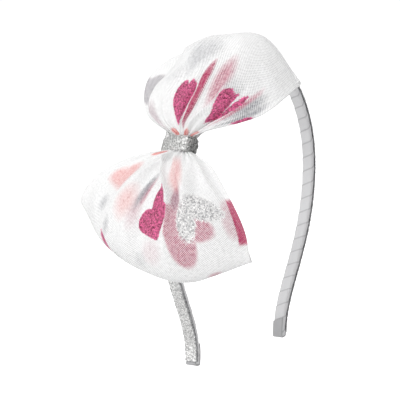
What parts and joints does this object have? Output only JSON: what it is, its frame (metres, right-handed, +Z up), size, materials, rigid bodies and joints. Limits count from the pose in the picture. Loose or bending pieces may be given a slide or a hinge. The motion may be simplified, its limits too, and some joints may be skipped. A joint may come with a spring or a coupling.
{
  "type": "bow headband",
  "caption": "Slim springy headband wound with ribbon, with a big printed tulle bow gathered by a glitter wrap on one side.",
  "frame": {"origin": "head side of the band at its top centre, where it rests on the crown of the head", "axes": "+Z up, the band's two arms in the XZ plane with their tips down, the bow on the -X arm, and -Y the front, the side that the bow leans to"},
  "size_m": [0.1502, 0.0795, 0.1321],
  "materials": {
    "core": "plain moulded plastic",
    "ribbon": "light grey satin ribbon in slanted laps",
    "glitter": "silver glitter ribbon",
    "tulle": "white tulle with magenta, coral and silver glitter hearts",
    "knot": "silver glitter ribbon, gathered"
  },
  "bodies": {
    "root": {"band_core": "core", "ribbon_wrap": "ribbon", "glitter_trim": "glitter", "tip_fold_left": "ribbon", "tip_fold_right": "ribbon", "bow_upper_loop": "tulle", "bow_lower_loop": "tulle", "knot_wrap": "knot"}
  },
  "joints": []
}
